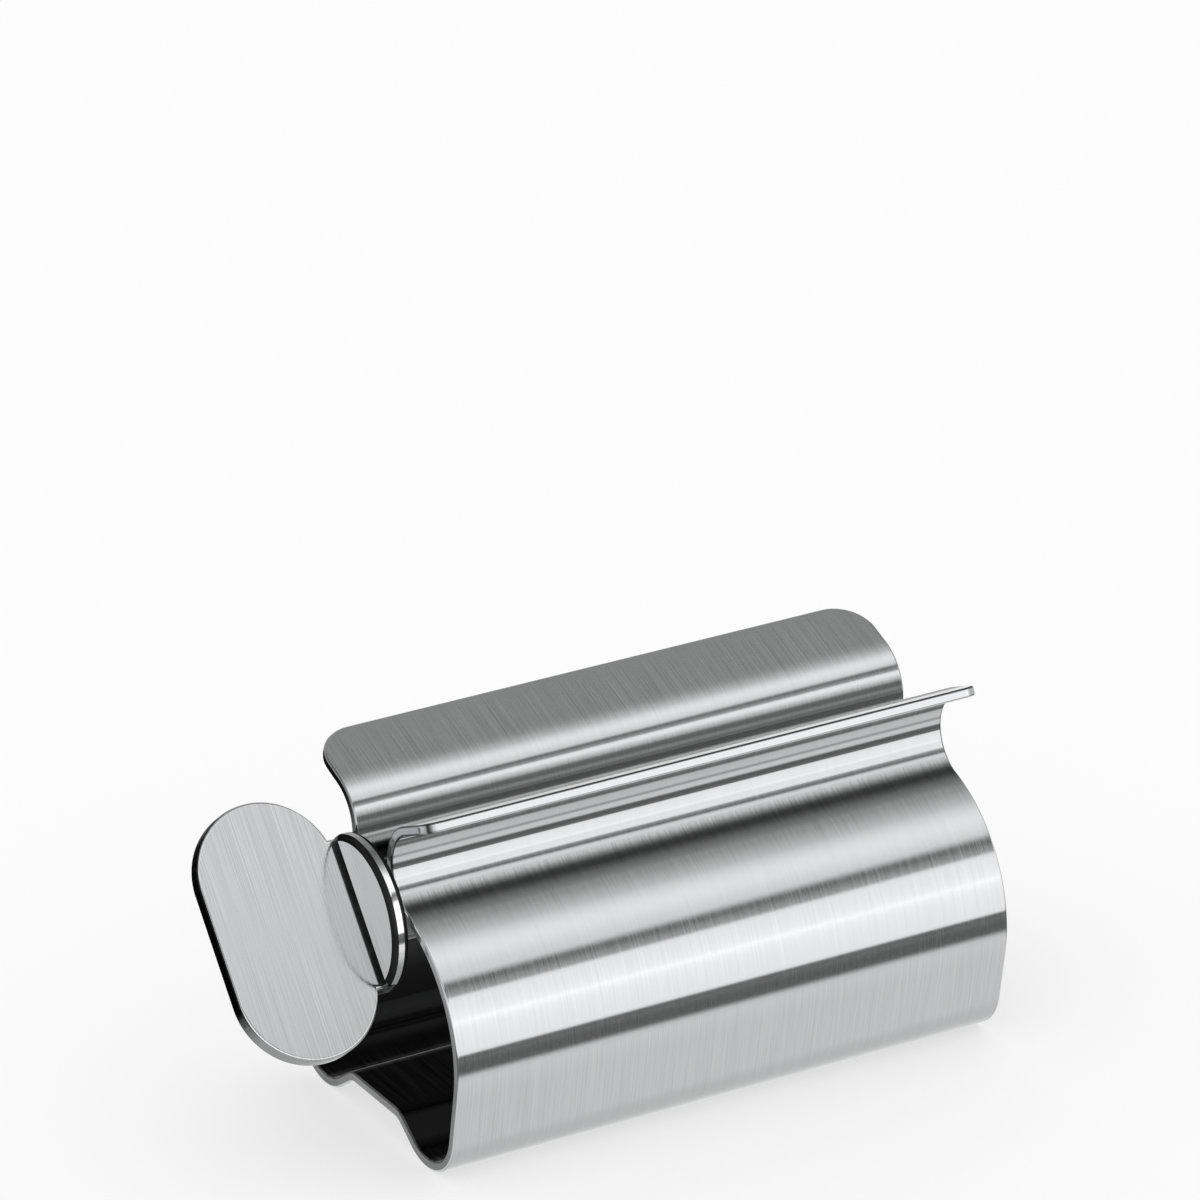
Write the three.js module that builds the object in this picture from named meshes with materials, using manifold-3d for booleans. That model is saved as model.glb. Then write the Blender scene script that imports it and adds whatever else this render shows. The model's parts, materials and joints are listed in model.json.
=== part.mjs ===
// Tube squeezer: a stand bent from one sheet of steel, with a winding key through its hollow.
// Millimetres, +Z up. X runs along the stand, the front faces -Y and the key's handle is at -X.
// The origin lies on the ground, under the middle of the whole object.
import * as THREE from "three";
import { mergeVertices } from "three/addons/utils/BufferGeometryUtils.js";
import Module from "manifold-3d";

const wasm = await Module();
wasm.setup();

// Stand: the sheet and the path that it is bent along. Radii are those of its outside face.
const STAND_LENGTH = 80;
const SHEET = 1.3;
const BULB_WIDTH = 42.6; // outside, front to back
const BULB_HEIGHT = 15.7; // height of the widest line
const THROAT_GAP = 7.5; // between the walls at their narrowest line
const THROAT_HEIGHT = 38.4; // height of that line
const LIP_BEND_RADIUS = 5.5;
const FRONT_LIP_RISE_DEG = 24.5; // slope above level
const FRONT_LIP_LENGTH = 6.6; // straight part, past its bend
const FRONT_LIP_CORNER = 2.5; // rounding of the lip's two corners
const BACK_LIP_RISE_DEG = 20.5;
const BACK_LIP_LENGTH = 7.9;
const BACK_LIP_CORNER = 5.2;
const FOOT_RADIUS = 7;
const FOOT_INSET = 8.3; // from the bulb's widest line in to the middle of a foot
const FOOT_CONTACT = 0.6; // flat that a foot stands on
const FOOT_WEB_DEG = 35; // slope of the sheet between a foot and the raised panel
const PANEL_RISE = 3.5; // underside of the panel above the ground
const PANEL_BEND_RADIUS = 2.3;

// Key: a stamped plate, handle at one end and fork at the other, through a slotted disc.
const KEY_HEIGHT = 29.8; // height of the axis that it turns about
const KEY_TILT_DEG = 39.5; // the handle's top leans back by this much
const PLATE_THICKNESS = 2.4;
const PLATE_EDGE_ROUND = 0.45; // rounding of all its edges
const HANDLE_LENGTH = 33.5;
const HANDLE_WIDTH = 18.85;
const HANDLE_STANDOFF = 0.35; // from the disc's face to the handle's nearest edge
const DISC_RADIUS = 10.2;
const DISC_THICKNESS = 2.2;
const DISC_RIM_ROUND = 0.8;
const DISC_SLOT_WIDTH = 4.6; // groove across the disc's face, round the plate
const DISC_SLOT_DEPTH = 1.2;
const NECK_INSET = 0.4; // from the disc's rim in to each end of the plate's neck
const FORK_WIDTH = 9;
const FORK_SLOT = 2.2; // between the prongs
const FORK_SLOT_START = 3; // from the stand's end to the closed end of the slot
const FORK_END_GAP = 2.5; // from the prongs' tips to the stand's far end
const CLEARANCE = 0.3; // between pieces that seat on each other

const ARC_STEPS = 14; // half the facets of one bend
const DISC_STEPS = 96;
const RIM_STEPS = 6;
const EDGE_STEPS = 2; // facets across one rounded edge of the plate
const OVERCUT = 1; // how far a cutting tool runs past what it cuts
const MERGE_DISTANCE = 1e-5; // vertices nearer than this are one

const rad = THREE.MathUtils.degToRad;
const RIGHT = rad(0);
const UP = rad(90);
const LEFT = rad(180);
const DOWN = rad(270);

// Axes for shapes drawn across the stand: their x runs along Y, their y up, their depth along X.
const ACROSS = new THREE.Matrix4().makeBasis(
  new THREE.Vector3(0, 1, 0),
  new THREE.Vector3(0, 0, 1),
  new THREE.Vector3(1, 0, 0),
);

const STEEL = { color: 0xc4c6c9, metalness: 1 };

// A closed mesh as a solid. Triangles that a revolve flattens on its own axis are left out.
function toSolid(geometry) {
  const bare = geometry.clone();
  bare.deleteAttribute("normal");
  bare.deleteAttribute("uv");
  const merged = mergeVertices(bare, MERGE_DISTANCE);
  const corners = [];
  for (let i = 0; i < merged.index.count; i += 3) {
    const triangle = merged.index.array.slice(i, i + 3);
    if (new Set(triangle).size === 3) {
      corners.push(...triangle);
    }
  }
  return new wasm.Manifold(
    new wasm.Mesh({
      numProp: 3,
      vertProperties: new Float32Array(merged.attributes.position.array),
      triVerts: new Uint32Array(corners),
    }),
  );
}

function toGeometry(solid) {
  const { vertProperties, triVerts } = solid.getMesh();
  const geometry = new THREE.BufferGeometry();
  geometry.setAttribute("position", new THREE.BufferAttribute(vertProperties, 3));
  geometry.setIndex(new THREE.BufferAttribute(triVerts, 1));
  geometry.computeVertexNormals();
  return geometry;
}

function cut(geometry, tools) {
  const start = toSolid(geometry);
  return toGeometry(tools.reduce((solid, tool) => solid.subtract(toSolid(tool)), start));
}

function piece(name, geometry, roughness) {
  const mesh = new THREE.Mesh(geometry, new THREE.MeshStandardMaterial({ ...STEEL, roughness }));
  mesh.name = name;
  return mesh;
}

// Points on a circle round a bend's centre.
function onCircle(centre, radius, angle) {
  return new THREE.Vector2(centre.x + radius * Math.cos(angle), centre.y + radius * Math.sin(angle));
}

function angleTo(from, to) {
  return Math.atan2(to.y - from.y, to.x - from.x);
}

// A bend: bulging ones have their centre inside the stand, hollow ones outside it.
function bulging(centre, radius, from, to) {
  return { centre, outside: radius, inside: radius - SHEET, from, to, clockwise: false };
}

function hollow(centre, radius, from, to) {
  return { centre, outside: radius, inside: radius + SHEET, from, to, clockwise: true };
}

// The bulb's arc runs straight into the throat's arc, which sets its radius.
function bulbCircle(throat) {
  const overhang = -BULB_WIDTH / 2 - throat.x;
  const drop = THROAT_HEIGHT - BULB_HEIGHT;
  const radius =
    (overhang ** 2 + drop ** 2 - LIP_BEND_RADIUS ** 2) / (2 * (LIP_BEND_RADIUS - overhang));
  return { centre: new THREE.Vector2(radius - BULB_WIDTH / 2, BULB_HEIGHT), radius };
}

// Bends of the front half, from a lip of the given slope down to the panel under the stand.
function halfBends(lipRiseDeg) {
  const throat = new THREE.Vector2(-THROAT_GAP / 2 - SHEET - LIP_BEND_RADIUS, THROAT_HEIGHT);
  const bulb = bulbCircle(throat);

  const contact = Math.asin(FOOT_CONTACT / 2 / FOOT_RADIUS);
  const foot = new THREE.Vector2(FOOT_INSET - BULB_WIDTH / 2, FOOT_RADIUS * Math.cos(contact));
  const wallTurn = Math.acos((bulb.radius - FOOT_RADIUS) / bulb.centre.distanceTo(foot));
  const wallAngle = angleTo(bulb.centre, foot) - wallTurn + 2 * Math.PI;

  const web = rad(FOOT_WEB_DEG);
  const panelY = PANEL_RISE - PANEL_BEND_RADIUS;
  const reach = Math.cos(web) * (panelY - foot.y) + FOOT_RADIUS + PANEL_BEND_RADIUS;
  const panel = new THREE.Vector2(foot.x + reach / Math.sin(web), panelY);

  return [
    hollow(throat, LIP_BEND_RADIUS, UP - rad(lipRiseDeg), angleTo(throat, bulb.centre)),
    bulging(bulb.centre, bulb.radius, angleTo(bulb.centre, throat), wallAngle),
    bulging(foot, FOOT_RADIUS, wallAngle, DOWN - contact),
    bulging(foot, FOOT_RADIUS, DOWN + contact, DOWN + web),
    hollow(panel, PANEL_BEND_RADIUS, UP + web, UP),
  ];
}

function mirrored(bend) {
  return {
    ...bend,
    centre: new THREE.Vector2(-bend.centre.x, bend.centre.y),
    from: LEFT - bend.to,
    to: LEFT - bend.from,
  };
}

// A lip's tip: the way the lip runs on from its bend, and where its two faces end.
function lipTip(bend, angle, quarterTurn, length) {
  const along = onCircle(new THREE.Vector2(), 1, angle + quarterTurn);
  return {
    along,
    outside: onCircle(bend.centre, bend.outside, angle).addScaledVector(along, length),
    inside: onCircle(bend.centre, bend.inside, angle).addScaledVector(along, length),
  };
}

function standProfile(bends, frontTip, backTip) {
  const shape = new THREE.Shape();
  shape.moveTo(frontTip.inside.x, frontTip.inside.y);
  shape.lineTo(frontTip.outside.x, frontTip.outside.y);
  for (const bend of bends) {
    shape.absarc(bend.centre.x, bend.centre.y, bend.outside, bend.from, bend.to, bend.clockwise);
  }
  shape.lineTo(backTip.outside.x, backTip.outside.y);
  shape.lineTo(backTip.inside.x, backTip.inside.y);
  for (const bend of bends.toReversed()) {
    shape.absarc(bend.centre.x, bend.centre.y, bend.inside, bend.to, bend.from, !bend.clockwise);
  }
  shape.closePath();
  return shape;
}

// The bit of sheet outside a rounded corner, drawn with the corner at the origin.
function cornerCutter(radius) {
  const shape = new THREE.Shape();
  shape.moveTo(-OVERCUT, -OVERCUT);
  shape.lineTo(radius, -OVERCUT);
  shape.absarc(radius, radius, radius, DOWN, LEFT, true);
  shape.lineTo(-OVERCUT, radius);
  shape.closePath();
  const depth = SHEET + 2 * OVERCUT;
  const geometry = new THREE.ExtrudeGeometry(shape, {
    depth,
    bevelEnabled: false,
    curveSegments: ARC_STEPS,
  });
  return geometry.translate(0, 0, -depth / 2);
}

// Cutters for both corners of one lip, one at each end of the stand.
function lipCornerCutters(tip, radius) {
  const middle = tip.outside.clone().add(tip.inside).multiplyScalar(0.5);
  const inward = new THREE.Vector3(0, -tip.along.x, -tip.along.y);
  return [0, STAND_LENGTH].map((end) => {
    const lengthwise = new THREE.Vector3(end === 0 ? 1 : -1, 0, 0);
    const through = new THREE.Vector3().crossVectors(lengthwise, inward);
    const place = new THREE.Matrix4().makeBasis(lengthwise, inward, through);
    return cornerCutter(radius).applyMatrix4(place.setPosition(end, middle.x, middle.y));
  });
}

function makeStand() {
  const front = halfBends(FRONT_LIP_RISE_DEG);
  const back = halfBends(BACK_LIP_RISE_DEG).map(mirrored).toReversed();
  const bends = [...front, ...back];
  const frontTip = lipTip(bends[0], bends[0].from, UP, FRONT_LIP_LENGTH);
  const backTip = lipTip(bends.at(-1), bends.at(-1).to, -UP, BACK_LIP_LENGTH);
  const strip = new THREE.ExtrudeGeometry(standProfile(bends, frontTip, backTip), {
    depth: STAND_LENGTH,
    bevelEnabled: false,
    curveSegments: ARC_STEPS,
  }).applyMatrix4(ACROSS);
  const corners = [
    ...lipCornerCutters(frontTip, FRONT_LIP_CORNER),
    ...lipCornerCutters(backTip, BACK_LIP_CORNER),
  ];
  return piece("stand", cut(strip, corners), 0.3);
}

// The key's own frame: x along the axis it turns about, from the stand's end; y along the handle.
const DISC_BACK = -CLEARANCE;
const DISC_FACE = DISC_BACK - DISC_THICKNESS;
const SLOT_FLOOR = DISC_FACE + DISC_SLOT_DEPTH;
const HANDLE_MIDDLE = DISC_FACE - HANDLE_STANDOFF - HANDLE_WIDTH / 2;
const KEY_REACH = HANDLE_WIDTH / 2 - HANDLE_MIDDLE;

// One outline: neck, fork and round-ended handle, counter-clockwise from the neck's lower corner.
function plateOutline() {
  const capRadius = HANDLE_WIDTH / 2;
  const capHeight = HANDLE_LENGTH / 2 - capRadius;
  const neck = DISC_RADIUS - NECK_INSET;
  const neckEnd = SLOT_FLOOR - CLEARANCE;
  const neckAngle = Math.asin((neck - capHeight) / capRadius);
  const prongRadius = (FORK_WIDTH - FORK_SLOT) / 4;
  const prongMiddle = (FORK_WIDTH + FORK_SLOT) / 4;
  const prongEnd = STAND_LENGTH - FORK_END_GAP - prongRadius;
  const slotRadius = FORK_SLOT / 2;

  const shape = new THREE.Shape();
  shape.moveTo(neckEnd, -neck);
  shape.lineTo(neckEnd, -FORK_WIDTH / 2);
  shape.absarc(prongEnd, -prongMiddle, prongRadius, -UP, UP, false);
  shape.absarc(FORK_SLOT_START + slotRadius, 0, slotRadius, DOWN, UP, true);
  shape.absarc(prongEnd, prongMiddle, prongRadius, -UP, UP, false);
  shape.lineTo(neckEnd, FORK_WIDTH / 2);
  shape.lineTo(neckEnd, neck);
  shape.absarc(HANDLE_MIDDLE, capHeight, capRadius, neckAngle, LEFT, false);
  shape.absarc(HANDLE_MIDDLE, -capHeight, capRadius, LEFT, 2 * LEFT - neckAngle, false);
  shape.closePath();
  return shape;
}

function makeKeyPlate() {
  const depth = PLATE_THICKNESS - 2 * PLATE_EDGE_ROUND;
  const plate = new THREE.ExtrudeGeometry(plateOutline(), {
    depth,
    bevelThickness: PLATE_EDGE_ROUND,
    bevelSize: PLATE_EDGE_ROUND,
    bevelOffset: -PLATE_EDGE_ROUND,
    bevelSegments: EDGE_STEPS,
    curveSegments: ARC_STEPS,
  }).translate(0, 0, -depth / 2);
  return piece("key_plate", plate, 0.4);
}

// Disc profile from the middle of its back out round the rim to the middle of its face.
function discProfile() {
  const rim = DISC_RADIUS - DISC_RIM_ROUND;
  const profile = new THREE.Path();
  profile.moveTo(0, DISC_FACE);
  profile.lineTo(rim, DISC_FACE);
  profile.absarc(rim, DISC_FACE + DISC_RIM_ROUND, DISC_RIM_ROUND, -UP, RIGHT, false);
  profile.absarc(rim, DISC_BACK - DISC_RIM_ROUND, DISC_RIM_ROUND, RIGHT, UP, false);
  profile.lineTo(0, DISC_BACK);
  return profile.getPoints(RIM_STEPS / 2);
}

function makeKeyDisc() {
  const disc = new THREE.LatheGeometry(discProfile(), DISC_STEPS).rotateZ(-UP);
  const across = 2 * (DISC_RADIUS + OVERCUT);
  const slotDepth = DISC_SLOT_DEPTH + OVERCUT;
  const slot = new THREE.BoxGeometry(slotDepth, across, DISC_SLOT_WIDTH);
  slot.translate(SLOT_FLOOR - slotDepth / 2, 0, 0);
  const windowDepth = DISC_THICKNESS + 2 * OVERCUT;
  const forkWindow = new THREE.BoxGeometry(
    windowDepth,
    FORK_WIDTH + 2 * CLEARANCE,
    PLATE_THICKNESS + 2 * CLEARANCE,
  );
  forkWindow.translate((DISC_FACE + DISC_BACK) / 2, 0, 0);
  return piece("key_disc", cut(disc, [slot, forkWindow]), 0.25);
}

const key = new THREE.Group();
key.position.z = KEY_HEIGHT;
key.rotation.x = UP - rad(KEY_TILT_DEG);
key.add(makeKeyPlate(), makeKeyDisc());

const squeezer = new THREE.Group();
squeezer.position.x = (KEY_REACH - STAND_LENGTH) / 2;
squeezer.add(makeStand(), key);

export default squeezer;
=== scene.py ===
"""Looks of a tube squeezer: a stand bent from one steel sheet, and the winding key in its hollow.

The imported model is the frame. Its three pieces are modelled again here with smooth bends and
rounded edges, and stand in a white studio whose softboxes and dark flags show in the steel.
"""
import json
import math

import bmesh
import bpy
from mathutils import Matrix, Vector


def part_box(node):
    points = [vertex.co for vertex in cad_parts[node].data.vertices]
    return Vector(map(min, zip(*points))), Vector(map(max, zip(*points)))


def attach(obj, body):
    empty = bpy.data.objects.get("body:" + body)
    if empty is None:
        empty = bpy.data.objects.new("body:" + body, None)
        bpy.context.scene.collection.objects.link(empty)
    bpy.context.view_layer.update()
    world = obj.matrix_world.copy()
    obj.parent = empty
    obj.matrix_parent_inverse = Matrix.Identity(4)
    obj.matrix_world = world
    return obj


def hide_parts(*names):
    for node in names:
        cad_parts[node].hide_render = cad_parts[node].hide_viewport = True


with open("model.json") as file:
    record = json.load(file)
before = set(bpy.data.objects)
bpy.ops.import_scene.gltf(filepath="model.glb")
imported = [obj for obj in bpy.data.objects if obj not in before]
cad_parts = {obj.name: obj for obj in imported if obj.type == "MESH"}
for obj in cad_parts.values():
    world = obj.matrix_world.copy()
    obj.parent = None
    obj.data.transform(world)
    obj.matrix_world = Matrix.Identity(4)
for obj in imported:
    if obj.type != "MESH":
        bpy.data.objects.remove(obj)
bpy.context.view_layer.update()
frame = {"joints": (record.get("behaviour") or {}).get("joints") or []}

MM = 0.001

# Directions in the plane of a profile
UP = math.pi / 2
LEFT = math.pi
DOWN = 1.5 * math.pi
FULL_TURN = 2 * math.pi

# Stand, in millimetres and radians. Radii are those of the sheet's outside face.
STAND_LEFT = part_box("stand")[0].x / MM
STAND_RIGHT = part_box("stand")[1].x / MM
SHEET = 1.3
BULB_WIDTH = 42.6
BULB_HEIGHT = 15.7  # height of the widest line
THROAT_GAP = 7.5
THROAT_HEIGHT = 38.4
LIP_BEND_RADIUS = 5.5
FRONT_LIP_RISE = math.radians(24.5)
FRONT_LIP_LENGTH = 6.6
FRONT_LIP_CORNER = 2.5
BACK_LIP_RISE = math.radians(20.5)
BACK_LIP_LENGTH = 7.9
BACK_LIP_CORNER = 5.2
FOOT_RADIUS = 7
FOOT_INSET = 8.3
FOOT_CONTACT = 0.6
FOOT_WEB = math.radians(35)
PANEL_RISE = 3.5
PANEL_BEND_RADIUS = 2.3
SHEET_EDGE_ROUND = 0.3
# A lip's bend eases into its straight part over this length, from this far above the crease
LIP_EASE = 2.5
LIP_EASE_START = 9

# Key, in its own frame: x from the stand's end along the axis, y along the handle, z through the plate
KEY_AXIS = Vector(frame["joints"][0]["pos_m"]) / MM
KEY_TILT = math.radians(39.5)
PLATE_THICKNESS = 2.4
PLATE_EDGE_ROUND = 0.45
HANDLE_LENGTH = 33.5
HANDLE_WIDTH = 18.85
HANDLE_STANDOFF = 0.35
DISC_RADIUS = 10.2
DISC_THICKNESS = 2.2
DISC_RIM_ROUND = 0.8
DISC_SLOT_WIDTH = 4.6
DISC_SLOT_DEPTH = 1.2
DISC_EDGE_ROUND = 0.12
NECK_INSET = 0.4
FORK_WIDTH = 9
FORK_SLOT = 2.2
FORK_SLOT_START = 3
FORK_END_GAP = 2.5
CLEARANCE = 0.3
DISC_BACK = -CLEARANCE
DISC_FACE = DISC_BACK - DISC_THICKNESS
SLOT_FLOOR = DISC_FACE + DISC_SLOT_DEPTH
HANDLE_MIDDLE = DISC_FACE - HANDLE_STANDOFF - HANDLE_WIDTH / 2
KEY_TURN = Matrix.Rotation(UP - KEY_TILT, 4, "X")
KEY_PLACE = Matrix.Translation((STAND_LEFT, 0, KEY_AXIS.z)) @ KEY_TURN
ALONG_AXIS = 0
ALONG_HANDLE = 1
THROUGH_PLATE = 2

# Fineness of the meshes
BEND_STEP = math.radians(1.5)
LEAST_STRETCH_STEPS = 2
CORNER_STEPS = 16
EASE_STEPS = 4
ROUND_STEPS = 4
ROUND_PROFILE = 0.5
OUTLINE_STEP = math.radians(2)
LEAST_ARC_STEPS = 4
DISC_STEPS = 180
OVERCUT = 1
SHARP_ANGLE = math.radians(40)
TOLERANCE = SHEET / 1000
LARGE_FACE_WEIGHT = 100  # large faces keep their own normal

# Painted shade, from 0 where the steel keeps its own colour to 1 where shade and dark reflections are
# painted into it, at stops between which it runs straight. On the outside face, by millimetres up
# from the crease under a lip:
CREASE_SHADE = (
    (-2.3, 0),
    (-1, 0.45),
    (-0.25, 0.76),
    (0.2, 0.84),
    (1, 0.83),
    (1.5, 0.66),
    (2.7, 0.25),
    (3.1, 0),
    (4.4, 0),
    (5, 0.1),
    (5.8, 0),
    (8.3, 0),
    (8.65, 0.53),
    (9, 0),
    (10.1, 0),
    (10.6, 0.78),
    (11.9, 0.25),
    (12.5, 0),
)
# On the inside face, by the same measure; shade is painted in nearly all the way down from the throat
INSIDE_SHADE = (
    (-29.5, 1),
    (-26, 0.97),
    (-24.8, 0.95),
    (-23.8, 1),
    (5.5, 1),
    (6.1, 0.85),
    (6.6, 0.45),
    (7, 0.45),
    (7.3, 0.7),
    (7.6, 0),
    (8, 0),
    (8.7, 0.88),
    (9.1, 0.72),
    (9.4, 0.88),
    (9.8, 0.86),
    (10.7, 0),
)
# On the sheet's edge up the back lip, by the same measure. It fades round the lip's corner, by how
# far the edge has turned to the tip, and on the inner rounding, by degrees from the outside face.
BACK_EDGE_SHADE = ((7, 0), (9.5, 0.6), (11.5, 0.9), (13.5, 0.98))
BACK_CORNER_FADE = ((0.75, 1), (0.95, 0))
BACK_ROUND_FADE = ((95, 1), (130, 0.5))
# On the sheet's edge round the front lip's left corner, by how far the edge has turned to the tip
FRONT_CORNER_SHADE = ((0.52, 0), (0.62, 0.92), (0.72, 0.92), (0.93, 0))
# On the edge's outer rounding, by degrees from the outside face, fading down the front lip
OUTER_ROUND_SHADE = ((0, 0.5), (22, 0.85), (60, 0.85), (75, 0))
OUTER_ROUND_FADE = ((1, 0), (4, 1))
# On the edge's inner rounding, by degrees from the outside face, fading up the back lip
INNER_ROUND_SHADE = ((95, 0), (112, 0.85))
INNER_ROUND_FADE = ((2, 1), (6, 0))
# On the handle's edge, by the way it faces: degrees round from the stand, 90 at its top end
HANDLE_EDGE_SHADE = ((90, 0.3), (120, 1), (185, 1), (215, 0.35), (270, 0.2))
# On the disc's rim, by how far it faces up, within a bright middle measured from the disc's face
RIM_SHADE = ((-0.75, 0.3), (-0.6, 0.6), (-0.3, 0.6), (0, 0), (0.7, 0), (0.95, 0.65))
RIM_BRIGHT_START = 0.62
RIM_BRIGHT_END = 1.3
# Painted shade on the fork, which sits in the stand's hollow
FORK_PAINTED_SHADE = 0.8
# Painted shade in the disc's groove and window
GROOVE_PAINTED_SHADE = 0.78
GROOVE_MARGIN = DISC_EDGE_ROUND / 10
# How far a face's normal has to point one way for the face to count as a flat or a groove's wall
FLAT_FACING = 0.6
GROOVE_FACING = 0.7

# Finishes. Line sizes are in millimetres.
# painted_shade_tone is the colour left where shade is painted in fully; painted_shade_roughness is the
# roughness added there
STAND_FINISH = {
    "tint": (0.6, 0.605, 0.61),
    "roughness": 0.12,
    "anisotropy": 0.85,
    "line_width": 0.12,
    "line_length": 14,
    "line_contrast": 0.08,
    "scatter": 0.15,
    "bump": 0.15,
    "painted_shade_tone": 0.015,
    "painted_shade_roughness": 0.1,
}
PLATE_FINISH = {
    "tint": (0.565, 0.57, 0.575),
    "roughness": 0.12,
    "anisotropy": 0.5,
    "line_width": 0.1,
    "line_length": 22,
    "line_contrast": 0.2,
    "scatter": 0.05,
    "bump": 0.12,
    "painted_shade_tone": 0.03,
    "painted_shade_roughness": 0.05,
}
DISC_FINISH = {
    "tint": (0.9, 0.905, 0.91),
    "roughness": 0.1,
    "anisotropy": 0.2,
    "line_width": 0.15,
    "line_length": 3,
    "line_contrast": 0.02,
    "scatter": 0.02,
    "bump": 0.03,
    "painted_shade_tone": 0.03,
    "painted_shade_roughness": 0.3,
}
FINE_DETAIL = 3.0
LINE_DEPTH = 0.01
# Broad lines: how many times wider and longer than the fine ones, and how strong
BROAD_WIDENING = 12
BROAD_LENGTHENING = 3
BROAD_CONTRAST = 0.015
BROAD_DETAIL = 2.0
# Noise that draws the lines, and the range that it seldom leaves
NOISE_ROUGHNESS = 0.6
NOISE_LOW = 0.3
NOISE_HIGH = 0.7
ROUGHNESS_CONTRAST = 0.3
FRAYING = 0.6
PAINTED_SHADE_GLANCE = 0.2  # share of its glancing mirror that the steel keeps where shade is painted in
FLAT_MAP = "flat"
# Layer that carries the painted shade
PAINTED_SHADE_LAYER = "painted_shade"

# Studio, in metres: a pale floor, a white world, and a dome of softboxes and dark flags that only
# the steel sees
WHITE = (1, 1, 1, 1)
FLOOR_COLOUR = (0.95, 0.95, 0.95, 1)
FLOOR_RADIUS = 6.0
FLOOR_STEPS = 96
FLOOR_GLOW = 0.55
STUDIO_RADIUS = 3.0
STUDIO_TILT = math.radians(4)
DOME_STEPS = 96
DOME_ROWS = 360
LEVEL_LAYER = "level"
PALE_FLOOR = 0.85
HORIZON_FLAG = 0.1
BELT_BOX = 1.33
BELT_CORE = 1.68
UPPER_FLAG = 0.165
TOP_BOX = 1.28
OVERHEAD = 0.25
# Height above level in degrees, and brightness there
DOME_BANDS = (
    (-90, 0.83 * PALE_FLOOR),
    (-60, 0.86 * PALE_FLOOR),
    (-46, 0.98 * PALE_FLOOR),
    (-33, 1.06 * PALE_FLOOR),
    (-29.5, PALE_FLOOR),
    (-26, 1.2 * HORIZON_FLAG),
    (-23, HORIZON_FLAG),
    (-20, 1.1 * HORIZON_FLAG),
    (-16.5, 1.7 * HORIZON_FLAG),
    (-14.3, 0.8 * HORIZON_FLAG),
    (-13.6, 0.8 * HORIZON_FLAG),
    (-12.6, 0.98 * BELT_BOX),
    (-4, BELT_BOX),
    (4, 1.05 * BELT_BOX),
    (8, 1.12 * BELT_BOX),
    (10.6, BELT_CORE),
    (13.2, 1.09 * BELT_BOX),
    (20, 1.01 * BELT_BOX),
    (27.4, 0.97 * BELT_BOX),
    (28.4, 2.6 * UPPER_FLAG),
    (31.5, 2.2 * UPPER_FLAG),
    (34.5, UPPER_FLAG),
    (36.5, UPPER_FLAG),
    (40, TOP_BOX),
    (90, TOP_BOX),
)
# Above this height the top is two boxes with a dim strip between them, by how far back it lies
STRIP_BASE = 36
OVERHEAD_STRIP = (
    (-0.58, 0.81),
    (-0.45, 0.98),
    (-0.36, 0.97),
    (-0.25, 0.78),
    (-0.19, 0.61),
    (0, 1.3 * OVERHEAD),
    (0.1, OVERHEAD),
    (0.4, OVERHEAD),
    (0.75, 1),
)
# The lower flags are lit a little at the back, and everything is dimmer straight out from both ends
BACK_GLOW = ((0, 0), (0.5, 0.28))
END_DIMMING = ((0.82, 1), (0.95, 0.5))

# Camera, in millimetres: the photograph's viewing angle, with a long lens
CAMERA_AZIMUTH = math.radians(-30.52)
CAMERA_ELEVATION = math.radians(24.18)
CAMERA_DISTANCE = 1002.8
CAMERA_TARGET = Vector((10.44, 11.83, 58.24))
CAMERA_LENS = 240
CAMERA_SENSOR = 36


def between(stops, value):
    """The level at a value, on straight lines between the stops."""
    if value <= stops[0][0]:
        return stops[0][1]
    for (low, before), (high, after) in zip(stops, stops[1:]):
        if value <= high:
            return before + (after - before) * (value - low) / (high - low)
    return stops[-1][1]


def polar(angle):
    return Vector((math.cos(angle), math.sin(angle)))


# Meshes and objects
def add_object(name, data):
    added = bpy.data.objects.new(name, data)
    bpy.context.scene.collection.objects.link(added)
    return added


def mesh_from(name, work):
    mesh = bpy.data.meshes.new(name)
    work.to_mesh(mesh)
    work.free()
    return mesh


def face_outward(mesh):
    work = bmesh.new()
    work.from_mesh(mesh)
    bmesh.ops.recalc_face_normals(work, faces=work.faces)
    work.to_mesh(mesh)
    work.free()


def set_layer(mesh, name, domain, values):
    layer = mesh.attributes.new(name, "FLOAT", domain)
    layer.data.foreach_set("value", values)


def set_flat_map(mesh, flat):
    """Brushing follows the flat sheet: across it runs u, along the brush lines runs v."""
    layer = mesh.uv_layers.new(name=FLAT_MAP)
    for loop in mesh.loops:
        layer.data[loop.index].uv = flat[loop.vertex_index]


def round_edges(work, edges, radius):
    bmesh.ops.bevel(
        work,
        geom=edges,
        offset=radius,
        segments=ROUND_STEPS,
        profile=ROUND_PROFILE,
        affect="EDGES",
        clamp_overlap=True,
    )


# The stand's bent path: stretches from the front lip's tip, under the stand, to the back lip's tip.
# Each stretch is its length, how far it turns, and a function that gives the outside face's point
# and normal on it.
def straight(start, end, normal):
    length = (end - start).length

    def at(travel):
        return start.lerp(end, travel / length), normal

    return {"length": length, "turn": 0, "at": at}


def bend(centre, radius, start, end, bulging):
    """A bend whose centre lies inside the stand if it bulges, and outside it if not."""
    side = 1 if bulging else -1
    turn = end - start
    length = abs(turn) * (radius - side * SHEET / 2)

    def at(travel):
        radial = polar(start + turn * travel / length)
        return centre + radial * radius, radial * side

    return {"length": length, "turn": abs(turn), "at": at}


def first(stretch):
    return stretch["at"](0)


def last(stretch):
    return stretch["at"](stretch["length"])


def angle_to(start, end):
    return math.atan2(end.y - start.y, end.x - start.x)


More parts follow.
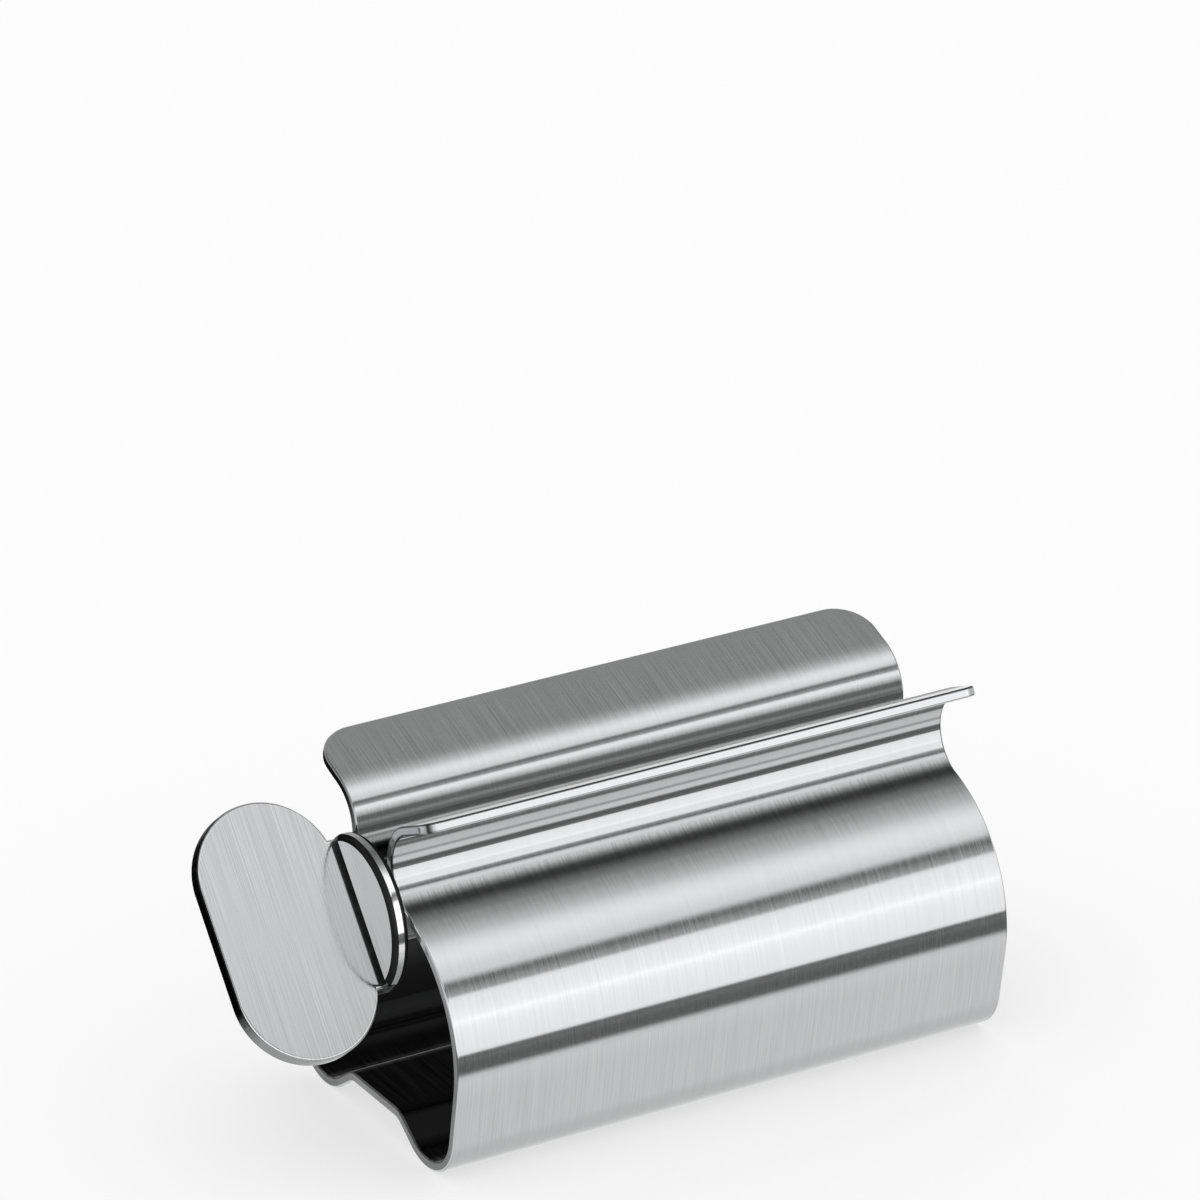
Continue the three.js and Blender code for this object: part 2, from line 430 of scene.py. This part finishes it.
def half_bends(lip_rise):
    """Bends of the front half, from its lip down to the panel under the stand."""
    # The bulb's circle touches the circle of the lip's bend
    throat = Vector((-THROAT_GAP / 2 - SHEET - LIP_BEND_RADIUS, THROAT_HEIGHT))
    overhang = -BULB_WIDTH / 2 - throat.x
    drop = THROAT_HEIGHT - BULB_HEIGHT
    squares = overhang**2 + drop**2 - LIP_BEND_RADIUS**2
    bulb_radius = squares / (2 * (LIP_BEND_RADIUS - overhang))
    bulb = Vector((bulb_radius - BULB_WIDTH / 2, BULB_HEIGHT))

    # The wall runs straight from the bulb's circle to the foot's
    contact = math.asin(FOOT_CONTACT / 2 / FOOT_RADIUS)
    foot = Vector((FOOT_INSET - BULB_WIDTH / 2, FOOT_RADIUS * math.cos(contact)))
    wall_turn = math.acos((bulb_radius - FOOT_RADIUS) / (foot - bulb).length)
    wall = angle_to(bulb, foot) - wall_turn + FULL_TURN

    # The web slopes up from the foot to the panel
    panel_y = PANEL_RISE - PANEL_BEND_RADIUS
    reach = math.cos(FOOT_WEB) * (panel_y - foot.y) + FOOT_RADIUS + PANEL_BEND_RADIUS
    panel = Vector((foot.x + reach / math.sin(FOOT_WEB), panel_y))

    return [
        bend(throat, LIP_BEND_RADIUS, UP - lip_rise, angle_to(throat, bulb), False),
        bend(bulb, bulb_radius, angle_to(bulb, throat), wall, True),
        bend(foot, FOOT_RADIUS, wall, DOWN - contact, True),
        bend(foot, FOOT_RADIUS, DOWN + contact, DOWN + FOOT_WEB, True),
        bend(panel, PANEL_BEND_RADIUS, UP + FOOT_WEB, UP, False),
    ]


def half_path(lip_rise, lip_length):
    """The front half from the lip's tip to the middle of the panel, bends joined by straights."""
    bends = half_bends(lip_rise)
    root, normal = first(bends[0])
    along = Vector((normal.y, -normal.x))
    path = [straight(root + along * lip_length, root, normal)]
    for one, following in zip(bends, bends[1:]):
        path.append(one)
        start = last(one)[0]
        end = first(following)[0]
        if (end - start).length > TOLERANCE:
            across = (end - start).normalized()
            path.append(straight(start, end, Vector((across.y, -across.x))))
    end, normal = last(bends[-1])
    path += [bends[-1], straight(end, Vector((0, end.y)), normal)]
    return path


def mirrored(stretch):
    """The same stretch on the back half, run the other way."""

    def at(travel):
        point, normal = stretch["at"](stretch["length"] - travel)
        return Vector((-point.x, point.y)), Vector((-normal.x, normal.y))

    return {**stretch, "at": at}


def stand_path():
    front = half_path(FRONT_LIP_RISE, FRONT_LIP_LENGTH)
    back = half_path(BACK_LIP_RISE, BACK_LIP_LENGTH)
    return front + [mirrored(stretch) for stretch in reversed(back)]


def path_length(path):
    return sum(stretch["length"] for stretch in path)


def on_path(path, travel):
    """The outside face's point and normal at a distance along the path."""
    for stretch in path:
        if travel <= stretch["length"]:
            return stretch["at"](max(travel, 0))
        travel -= stretch["length"]
    return last(path[-1])


def path_stations(path):
    """Distances along the path at which the sheet gets a row of vertices."""
    stations = []
    travelled = 0
    for stretch in path:
        steps = max(LEAST_STRETCH_STEPS, math.ceil(stretch["turn"] / BEND_STEP))
        stations += [travelled + stretch["length"] * step / steps for step in range(steps)]
        travelled += stretch["length"]
    return stations + [travelled]


def creases(path):
    """Distances along the path to the two creases where the bulb turns into a lip's bend."""
    front = path[0]["length"] + path[1]["length"]
    back = path[-1]["length"] + path[-2]["length"]
    return front, path_length(path) - back


# The sheet: rings of vertices round its edge, from the outside face to the inside face
def corner_rows(radius, tip, inward):
    """Points round a lip's corner, from the tip's edge to the end's, as in sheet_rows."""
    rows = []
    for step in range(CORNER_STEPS + 1):
        angle = UP * step / CORNER_STEPS
        in_from_end = radius * (1 - math.sin(angle))
        travel = tip + inward * radius * (1 - math.cos(angle))
        rows.append((in_from_end, travel, math.sin(angle), -inward * math.cos(angle)))
    return rows


def sheet_rows(path):
    """Points round one half of the flat sheet's edge, from the front tip to the back tip: how far
    in from the end, how far along the path, and the edge's outward direction in both."""
    length = path_length(path)
    end_rows = []
    for travel in path_stations(path):
        if FRONT_LIP_CORNER < travel < length - BACK_LIP_CORNER:
            end_rows.append((0, travel, 1, 0))
    front = corner_rows(FRONT_LIP_CORNER, 0, 1)
    back = corner_rows(BACK_LIP_CORNER, length, -1)
    return front + end_rows + back[::-1]


def edge_rings():
    """Loops round the sheet's edge: how far in, how deep, and how far the normal has turned."""
    near = []
    for step in range(ROUND_STEPS + 1):
        turn = UP * step / ROUND_STEPS
        inset = SHEET_EDGE_ROUND * (1 - math.sin(turn))
        depth = SHEET_EDGE_ROUND * (1 - math.cos(turn))
        near.append((inset, depth, turn))
    far = [(inset, SHEET - depth, LEFT - turn) for inset, depth, turn in reversed(near)]
    return near + far


# Painted shade and dark reflections on the sheet's edge
def back_edge_share(spot):
    shade = between(BACK_EDGE_SHADE, spot["above_back"])
    shade *= between(BACK_CORNER_FADE, spot["tipward"])
    shade *= between(BACK_ROUND_FADE, spot["turn"])
    inner = between(INNER_ROUND_SHADE, spot["turn"])
    inner *= between(INNER_ROUND_FADE, spot["above_back"])
    return max(shade, inner)


def front_edge_share(spot):
    outer = between(OUTER_ROUND_SHADE, spot["turn"])
    outer *= between(OUTER_ROUND_FADE, spot["above_front"])
    outer *= 1 - spot["tipward"]
    inner = between(INNER_ROUND_SHADE, spot["turn"])
    corner = between(FRONT_CORNER_SHADE, spot["tipward"]) if spot["at_left"] else 0
    return max(outer, inner, corner)


def painted_shade_share(depth, spot):
    """How much shade and dark reflection is painted into a spot of the sheet."""
    above = max(spot["above_front"], spot["above_back"])
    if depth == 0:
        return between(CREASE_SHADE, above)
    if depth == SHEET:
        return between(INSIDE_SHADE, above)
    if above == spot["above_back"]:
        return back_edge_share(spot)
    return front_edge_share(spot)


def eased_normal(path, along, above_crease):
    """The normal averaged over a short way along the path, where a lip's bend turns straight."""
    reach = min(max(above_crease - LIP_EASE_START, 0), LIP_EASE)
    steps = range(-EASE_STEPS, EASE_STEPS + 1)
    normals = [on_path(path, along + reach * step / EASE_STEPS)[1] for step in steps]
    return sum(normals, Vector((0, 0))).normalized()


def sheet_vertex(path, ring, row, at_left):
    """Place, normal, flat position and painted shade share of one vertex."""
    inset, depth, turn = ring
    in_from_end, travel, out_end, out_path = row
    end, side = (STAND_LEFT, 1) if at_left else (STAND_RIGHT, -1)
    x = end + side * (in_from_end + inset * out_end)
    along = travel - inset * out_path
    front_crease, back_crease = creases(path)
    spot = {
        "turn": math.degrees(turn),
        "tipward": abs(out_path),
        "above_front": front_crease - along,
        "above_back": along - back_crease,
        "at_left": at_left,
    }
    point, normal = on_path(path, along)
    place = point - normal * depth
    eased = eased_normal(path, along, max(spot["above_front"], spot["above_back"]))
    face = Vector((0, eased.x, eased.y))
    tangent = Vector((0, -eased.y, eased.x))
    edge = tangent * out_path - Vector((side * out_end, 0, 0))
    return {
        "place": Vector((x, place.x, place.y)) * MM,
        "normal": face * math.cos(turn) + edge * math.sin(turn),
        "flat": (x, along),
        "painted_shade": painted_shade_share(depth, spot),
    }


def sheet_vertices(path, rows, rings):
    """Every vertex, ring by ring, the left end's rows before the right end's."""
    vertices = []
    for ring in rings:
        for at_left in (True, False):
            vertices += [sheet_vertex(path, ring, row, at_left) for row in rows]
    return vertices


def sheet_faces(row_count, ring_count):
    """The sheet's two faces, its edge along both ends, and its edge along both tips."""

    def index(ring, side, row):
        return (ring * 2 + side) * row_count + row

    faces = []
    for row in range(row_count - 1):
        for ring in (0, ring_count - 1):
            corners = [(0, row), (0, row + 1), (1, row + 1), (1, row)]
            faces.append([index(ring, side, at) for side, at in corners])
    for ring in range(ring_count - 1):
        for side in (0, 1):
            for row in range(row_count - 1):
                corners = [(ring, row), (ring, row + 1), (ring + 1, row + 1), (ring + 1, row)]
                faces.append([index(at, side, along) for at, along in corners])
        for row in (0, row_count - 1):
            corners = [(ring, 0), (ring + 1, 0), (ring + 1, 1), (ring, 1)]
            faces.append([index(at, side, row) for at, side in corners])
    return faces


def make_stand():
    path = stand_path()
    rows = sheet_rows(path)
    rings = edge_rings()
    vertices = sheet_vertices(path, rows, rings)
    places = [vertex["place"] for vertex in vertices]
    normals = [vertex["normal"].normalized() for vertex in vertices]
    mesh = bpy.data.meshes.new("bent_stand")
    mesh.from_pydata(places, [], sheet_faces(len(rows), len(rings)))
    face_outward(mesh)
    mesh.shade_smooth()
    mesh.normals_split_custom_set_from_vertices(normals)
    set_flat_map(mesh, [vertex["flat"] for vertex in vertices])
    # The painted shade goes on as a layer that the steel's colour reads
    set_layer(mesh, PAINTED_SHADE_LAYER, "POINT", [vertex["painted_shade"] for vertex in vertices])
    stand = add_object("bent_stand", mesh)
    stand.visible_glossy = False  # neither the key nor the stand's own faces mirror it
    return stand


# Key plate: one outline, extruded, with rounded edges
def arc_points(centre, radius, start, end):
    steps = max(LEAST_ARC_STEPS, math.ceil(abs(end - start) / OUTLINE_STEP))
    angles = [start + (end - start) * step / steps for step in range(steps + 1)]
    return [Vector(centre) + polar(angle) * radius for angle in angles]


def plate_outline():
    cap_radius = HANDLE_WIDTH / 2
    cap_height = HANDLE_LENGTH / 2 - cap_radius
    neck = DISC_RADIUS - NECK_INSET
    neck_end = SLOT_FLOOR - CLEARANCE
    neck_angle = math.asin((neck - cap_height) / cap_radius)
    prong_radius = (FORK_WIDTH - FORK_SLOT) / 4
    prong_middle = (FORK_WIDTH + FORK_SLOT) / 4
    prong_end = STAND_RIGHT - STAND_LEFT - FORK_END_GAP - prong_radius
    slot_radius = FORK_SLOT / 2
    slot_end = FORK_SLOT_START + slot_radius
    return [
        Vector((neck_end, -neck)),
        Vector((neck_end, -FORK_WIDTH / 2)),
        *arc_points((prong_end, -prong_middle), prong_radius, -UP, UP),
        *arc_points((slot_end, 0), slot_radius, DOWN, UP),
        *arc_points((prong_end, prong_middle), prong_radius, -UP, UP),
        Vector((neck_end, FORK_WIDTH / 2)),
        Vector((neck_end, neck)),
        *arc_points((HANDLE_MIDDLE, cap_height), cap_radius, neck_angle, LEFT),
        *arc_points((HANDLE_MIDDLE, -cap_height), cap_radius, LEFT, FULL_TURN - neck_angle),
    ]


def finish_key_piece(name, work, across, along, face_painted_shade):
    """Sets the brushing's flat map and each face's painted shade in the key's frame, then puts the
    piece in place.
    """
    mesh = mesh_from(name, work)
    set_flat_map(mesh, [(vertex.co[across], vertex.co[along]) for vertex in mesh.vertices])
    set_layer(mesh, PAINTED_SHADE_LAYER, "FACE", [face_painted_shade(face) for face in mesh.polygons])
    mesh.transform(Matrix.Scale(MM, 4) @ KEY_PLACE)
    mesh.shade_smooth()
    piece = add_object(name, mesh)
    even = piece.modifiers.new("even_normals", "WEIGHTED_NORMAL")
    even.weight = LARGE_FACE_WEIGHT
    return piece


def plate_painted_shade(face):
    """The fork, in the stand's hollow, gets painted shade. The stamped edge round the handle gets
    painted shade and dark reflections, darkest where it faces away from the stand."""
    if face.center.x > DISC_BACK:
        return FORK_PAINTED_SHADE
    if abs(face.normal.z) > FLAT_FACING:
        return 0
    facing = math.degrees(math.atan2(face.normal.y, face.normal.x)) % 360
    return between(HANDLE_EDGE_SHADE, facing)


def make_key_plate():
    work = bmesh.new()
    outline = plate_outline()
    loops = []
    for depth in (-PLATE_THICKNESS / 2, PLATE_THICKNESS / 2):
        loops.append([work.verts.new((point.x, point.y, depth)) for point in outline])
    flats = [work.faces.new(loop) for loop in loops]
    near, far = loops
    for here in range(len(outline)):
        after = (here + 1) % len(outline)
        work.faces.new((near[here], near[after], far[after], far[here]))
    bmesh.ops.recalc_face_normals(work, faces=work.faces)
    round_edges(work, [edge for flat in flats for edge in flat.edges], PLATE_EDGE_ROUND)
    # Faces end where the fork's painted shade starts, at the disc's back
    everything = [*work.verts, *work.edges, *work.faces]
    bmesh.ops.bisect_plane(work, geom=everything, plane_co=(DISC_BACK, 0, 0), plane_no=(1, 0, 0))
    return finish_key_piece("winding_plate", work, ALONG_AXIS, ALONG_HANDLE, plate_painted_shade)


# Key disc: a turned collar with a groove across its face and a window through it
def disc_profile():
    rim = DISC_RADIUS - DISC_RIM_ROUND
    face_round = arc_points((DISC_FACE + DISC_RIM_ROUND, rim), DISC_RIM_ROUND, LEFT, UP)
    back_round = arc_points((DISC_BACK - DISC_RIM_ROUND, rim), DISC_RIM_ROUND, UP, 0)
    return face_round + back_round


def turned(profile):
    """A solid turned about the key's axis, closed at both ends."""
    work = bmesh.new()
    angles = [FULL_TURN * step / DISC_STEPS for step in range(DISC_STEPS)]
    loops = []
    for point in profile:
        spots = [(point.x, point.y * math.cos(angle), point.y * math.sin(angle)) for angle in angles]
        loops.append([work.verts.new(spot) for spot in spots])
    for one, following in zip(loops, loops[1:]):
        for here in range(DISC_STEPS):
            after = (here + 1) % DISC_STEPS
            work.faces.new((one[here], one[after], following[after], following[here]))
    work.faces.new(loops[0])
    work.faces.new(loops[-1])
    bmesh.ops.recalc_face_normals(work, faces=work.faces)
    return work


def block(middle, size):
    work = bmesh.new()
    bmesh.ops.create_cube(work, size=1)
    bmesh.ops.scale(work, vec=size, verts=work.verts)
    bmesh.ops.translate(work, vec=middle, verts=work.verts)
    return work


def cut(work, tools):
    """The solid without the tools' volumes."""
    target = add_object("cut_target", mesh_from("cut_target", work))
    cutters = [add_object("cutter", mesh_from("cutter", tool)) for tool in tools]
    for cutter in cutters:
        modifier = target.modifiers.new("cut", "BOOLEAN")
        modifier.operation = "DIFFERENCE"
        modifier.solver = "EXACT"
        modifier.object = cutter
    depsgraph = bpy.context.evaluated_depsgraph_get()
    result = bmesh.new()
    result.from_mesh(target.evaluated_get(depsgraph).data)
    # An object goes with its mesh
    for scratch in [target, *cutters]:
        bpy.data.meshes.remove(scratch.data)
    return result


def is_groove(face):
    """Walls and floor of the groove and window."""
    out = math.hypot(face.center.y, face.center.z)
    sideways = max(abs(face.normal.y), abs(face.normal.z)) > GROOVE_FACING
    within = abs(face.center.z) < DISC_SLOT_WIDTH / 2 + GROOVE_MARGIN
    wall = sideways and within and out < DISC_RADIUS - DISC_RIM_ROUND
    sunk = face.center.x > DISC_FACE + DISC_SLOT_DEPTH / 2
    floor = sunk and face.normal.x < -GROOVE_FACING
    return wall or floor


def disc_painted_shade(face):
    """The groove and window get painted shade. The rim gets painted shade and dark reflections on its
    two roundings, at its top and where it looks down into the hollow."""
    if is_groove(face):
        return GROOVE_PAINTED_SHADE
    if math.hypot(face.center.y, face.center.z) < DISC_RADIUS - DISC_RIM_ROUND:
        return 0
    if not RIM_BRIGHT_START < face.center.x - DISC_FACE < RIM_BRIGHT_END:
        return 1
    return between(RIM_SHADE, (KEY_PLACE.to_3x3() @ face.normal).z)


def make_key_disc():
    slot_depth = DISC_SLOT_DEPTH + OVERCUT
    slot_length = 2 * (DISC_RADIUS + OVERCUT)
    slot_size = (slot_depth, slot_length, DISC_SLOT_WIDTH)
    slot = block((SLOT_FLOOR - slot_depth / 2, 0, 0), slot_size)
    window_size = (
        DISC_THICKNESS + 2 * OVERCUT,
        FORK_WIDTH + 2 * CLEARANCE,
        PLATE_THICKNESS + 2 * CLEARANCE,
    )
    window = block(((DISC_FACE + DISC_BACK) / 2, 0, 0), window_size)
    work = cut(turned(disc_profile()), [slot, window])
    bmesh.ops.remove_doubles(work, verts=work.verts, dist=TOLERANCE)
    sharp = [edge for edge in work.edges if edge.calc_face_angle(0) > SHARP_ANGLE]
    round_edges(work, sharp, DISC_EDGE_ROUND)
    return finish_key_piece("slotted_disc", work, THROUGH_PLATE, ALONG_HANDLE, disc_painted_shade)


# Materials
def new_material(name):
    material = bpy.data.materials.new(name)
    material.use_nodes = True
    return material


def add_node(tree, kind, **inputs):
    node = tree.nodes.new("ShaderNode" + kind)
    for name, value in inputs.items():
        node.inputs[name.replace("_", " ")].default_value = value
    return node


def layer_value(tree, name):
    attribute = add_node(tree, "Attribute")
    attribute.attribute_name = name
    return attribute.outputs["Fac"]


def streaks(tree, across, along, detail):
    """Noise drawn out along the brush lines: across and along are its sizes in millimetres."""
    flat = add_node(tree, "UVMap")
    flat.uv_map = FLAT_MAP
    stretch = add_node(tree, "Mapping", Scale=(1 / across, 1 / along, 1))
    noise = add_node(tree, "TexNoise", Scale=1.0, Detail=detail, Roughness=NOISE_ROUGHNESS)
    tree.links.new(flat.outputs["UV"], stretch.inputs["Vector"])
    tree.links.new(stretch.outputs["Vector"], noise.inputs["Vector"])
    return noise.outputs["Fac"]


def spread(tree, noise, low, high):
    """Noise sits near its middle, so its usual range is stretched to the wanted one."""
    node = add_node(
        tree, "MapRange", From_Min=NOISE_LOW, From_Max=NOISE_HIGH, To_Min=low, To_Max=high
    )
    tree.links.new(noise, node.inputs["Value"])
    return node.outputs["Result"]


def blend(tree, share, start, end):
    """From start where the share is 0 to end where it is 1."""
    node = add_node(tree, "MapRange", To_Min=start, To_Max=end)
    tree.links.new(share, node.inputs["Value"])
    return node.outputs["Result"]


def combine(tree, operation, one, other):
    node = add_node(tree, "Math")
    node.operation = operation
    tree.links.new(one, node.inputs[0])
    tree.links.new(other, node.inputs[1])
    return node.outputs["Value"]


def grey(tree, value, tint):
    """A shade of steel: the tint times a changing value."""
    node = add_node(tree, "VectorMath")
    node.operation = "SCALE"
    node.inputs[0].default_value = tint
    tree.links.new(value, node.inputs["Scale"])
    return node.outputs["Vector"]


def painted_shade_spots(tree, lines):
    """Share of painted shade, with edges frayed along the brush lines."""
    share = layer_value(tree, PAINTED_SHADE_LAYER)
    partial = combine(tree, "MULTIPLY", share, blend(tree, share, 1.0, 0.0))
    fraying = combine(tree, "MULTIPLY", partial, spread(tree, lines, -FRAYING, FRAYING))
    return combine(tree, "ADD", share, fraying)


def steel_colour(tree, finish, fine, painted_shade):
    width = finish["line_width"] * BROAD_WIDENING
    length = finish["line_length"] * BROAD_LENGTHENING
    broad = streaks(tree, width, length, BROAD_DETAIL)
    contrast = finish["line_contrast"]
    fine_tone = spread(tree, fine, 1 - contrast, 1 + contrast)
    broad_tone = spread(tree, broad, 1 - BROAD_CONTRAST, 1 + BROAD_CONTRAST)
    tone = combine(tree, "MULTIPLY", fine_tone, broad_tone)
    # Painted shade darkens the tone
    tone = combine(tree, "MULTIPLY", tone, blend(tree, painted_shade, 1.0, finish["painted_shade_tone"]))
    return grey(tree, tone, finish["tint"])


def steel_roughness(tree, finish, fine, painted_shade):
    low = finish["roughness"] * (1 - ROUGHNESS_CONTRAST)
    high = finish["roughness"] * (1 + ROUGHNESS_CONTRAST)
    added = blend(tree, painted_shade, 0.0, finish["painted_shade_roughness"])
    return combine(tree, "ADD", spread(tree, fine, low, high), added)


def line_bump(tree, finish, fine):
    bump = add_node(tree, "Bump", Strength=finish["bump"], Distance=LINE_DEPTH * MM)
    tree.links.new(fine, bump.inputs["Height"])
    return bump.outputs["Normal"]


def line_tangent(tree):
    tangent = add_node(tree, "Tangent")
    tangent.direction_type = "UV_MAP"
    tangent.uv_map = FLAT_MAP
    return tangent.outputs["Tangent"]


def brushed_steel(name, finish):
    """Steel with brush lines: fine ones, along which it scatters a little light, and broad faint
    ones that shift the tone."""
    material = new_material(name)
    tree = material.node_tree
    fine = streaks(tree, finish["line_width"], finish["line_length"], FINE_DETAIL)
    # Painted shade darkens the colour and the glancing mirror, and adds roughness
    painted_shade = painted_shade_spots(tree, fine)
    shader = tree.nodes["Principled BSDF"]
    shader.inputs["Anisotropic"].default_value = finish["anisotropy"]
    sources = {
        "Metallic": spread(tree, fine, 1.0, 1 - finish["scatter"]),
        "Base Color": steel_colour(tree, finish, fine, painted_shade),
        "Specular Tint": blend(tree, painted_shade, 1.0, PAINTED_SHADE_GLANCE),
        "Roughness": steel_roughness(tree, finish, fine, painted_shade),
        "Normal": line_bump(tree, finish, fine),
        "Tangent": line_tangent(tree),
    }
    for socket, source in sources.items():
        tree.links.new(source, shader.inputs[socket])
    return material


def dress(piece, body, node, material):
    piece.data.materials.append(material)
    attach(piece, body)
    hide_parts(node)


# Studio
def dome_emission():
    material = new_material("dome_light")
    tree = material.node_tree
    tree.nodes.remove(tree.nodes["Principled BSDF"])
    glow = add_node(tree, "Emission", Color=WHITE)
    tree.links.new(layer_value(tree, LEVEL_LAYER), glow.inputs["Strength"])
    tree.links.new(glow.outputs["Emission"], tree.nodes["Material Output"].inputs["Surface"])
    material.cycles.emission_sampling = "NONE"
    return material


def dome_level(direction):
    """Brightness of the dome in a direction from its middle."""
    height = math.degrees(math.asin(direction.z))
    level = between(DOME_BANDS, height)
    if height > STRIP_BASE:
        level *= between(OVERHEAD_STRIP, direction.y)
    if height < 0:
        level = max(level, between(BACK_GLOW, direction.y))
    return level * between(END_DIMMING, abs(direction.x))


def dome_directions():
    """Directions to the dome's vertices, row by row from the lowest."""
    for row in range(1, DOME_ROWS):
        rise = math.pi * row / DOME_ROWS - UP
        for step in range(DOME_STEPS):
            across = polar(FULL_TURN * step / DOME_STEPS) * math.cos(rise)
            yield Vector((across.x, across.y, math.sin(rise)))


def make_dome():
    directions = list(dome_directions())
    faces = []
    for row in range(DOME_ROWS - 2):
        for step in range(DOME_STEPS):
            here = row * DOME_STEPS + step
            after = row * DOME_STEPS + (step + 1) % DOME_STEPS
            faces.append((here, after, after + DOME_STEPS, here + DOME_STEPS))
    mesh = bpy.data.meshes.new("studio_dome")
    mesh.from_pydata(directions, [], faces)
    mesh.transform(Matrix.Rotation(-STUDIO_TILT, 4, "X") @ Matrix.Scale(STUDIO_RADIUS, 4))
    set_layer(mesh, LEVEL_LAYER, "POINT", [dome_level(direction) for direction in directions])
    mesh.materials.append(dome_emission())
    dome = add_object("studio_dome", mesh)
    dome.visible_camera = False
    dome.visible_diffuse = False
    dome.visible_shadow = False


def add_floor_glow(tree, shader):
    """Where the floor is looked at, part of its shade is plain white, so its shadow stays pale."""
    path = add_node(tree, "LightPath")
    seen = combine(tree, "ADD", path.outputs["Is Camera Ray"], path.outputs["Is Glossy Ray"])
    seen = combine(tree, "ADD", seen, path.outputs["Is Transmission Ray"])
    glow = add_node(tree, "Emission", Color=WHITE, Strength=1.0)
    mix = add_node(tree, "MixShader")
    tree.links.new(blend(tree, seen, 0.0, FLOOR_GLOW), mix.inputs["Fac"])
    tree.links.new(shader.outputs["BSDF"], mix.inputs[1])
    tree.links.new(glow.outputs["Emission"], mix.inputs[2])
    tree.links.new(mix.outputs["Shader"], tree.nodes["Material Output"].inputs["Surface"])


def make_floor():
    work = bmesh.new()
    bmesh.ops.create_circle(work, cap_ends=True, segments=FLOOR_STEPS, radius=FLOOR_RADIUS)
    floor = add_object("floor", mesh_from("floor", work))
    material = new_material("pale_floor")
    shader = material.node_tree.nodes["Principled BSDF"]
    shader.inputs["Base Color"].default_value = FLOOR_COLOUR
    shader.inputs["Roughness"].default_value = 1.0
    shader.inputs["Specular IOR Level"].default_value = 0.0
    add_floor_glow(material.node_tree, shader)
    floor.data.materials.append(material)
    floor.visible_glossy = False


def make_world():
    world = bpy.data.worlds.new("white_studio")
    world.use_nodes = True
    background = world.node_tree.nodes["Background"]
    background.inputs["Color"].default_value = WHITE
    background.inputs["Strength"].default_value = 1.0
    bpy.context.scene.world = world


def make_camera():
    data = bpy.data.cameras.new("photo_camera")
    data.lens = CAMERA_LENS
    data.sensor_width = CAMERA_SENSOR
    camera = add_object("photo_camera", data)
    level = math.cos(CAMERA_ELEVATION)
    away = Vector((
        math.sin(CAMERA_AZIMUTH) * level,
        -math.cos(CAMERA_AZIMUTH) * level,
        math.sin(CAMERA_ELEVATION),
    ))
    camera.location = (CAMERA_TARGET + away * CAMERA_DISTANCE) * MM
    camera.rotation_euler = (-away).to_track_quat("-Z", "Y").to_euler()
    bpy.context.scene.camera = camera


stand_steel = brushed_steel("stand_steel", STAND_FINISH)
plate_steel = brushed_steel("plate_steel", PLATE_FINISH)
disc_steel = brushed_steel("disc_steel", DISC_FINISH)
dress(make_stand(), "stand", "stand", stand_steel)
dress(make_key_plate(), "key", "key_plate", plate_steel)
dress(make_key_disc(), "key", "key_disc", disc_steel)
make_floor()
make_dome()
make_world()
make_camera()
bpy.context.scene.view_settings.view_transform = "Standard"
